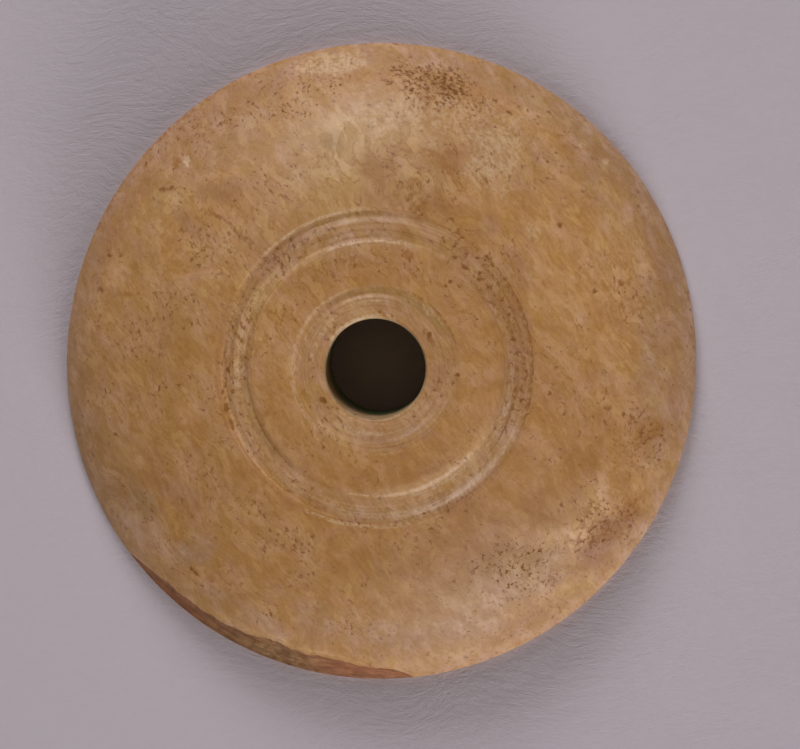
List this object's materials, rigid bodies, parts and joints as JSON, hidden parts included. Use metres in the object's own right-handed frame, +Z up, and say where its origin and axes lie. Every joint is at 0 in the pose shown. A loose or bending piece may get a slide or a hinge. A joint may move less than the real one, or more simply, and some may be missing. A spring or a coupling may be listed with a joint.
{
  "type": "bone spindle whorl",
  "caption": "Low domed disc of turned bone with a central spindle hole, ring mouldings round a raised collar and a chipped rim; weights a hand spindle.",
  "frame": {"origin": "centre of the flat underside, on the axis of the spindle hole", "axes": "+Z up along the spindle hole, from the flat underside to the domed face; seen from above with +Y away from the viewer, the broken edge lies towards -Y and a little towards -X"},
  "size_m": [0.0394, 0.04, 0.0081],
  "materials": {
    "bone": "satin"
  },
  "bodies": {
    "root": {"whorl": "bone"}
  },
  "joints": []
}
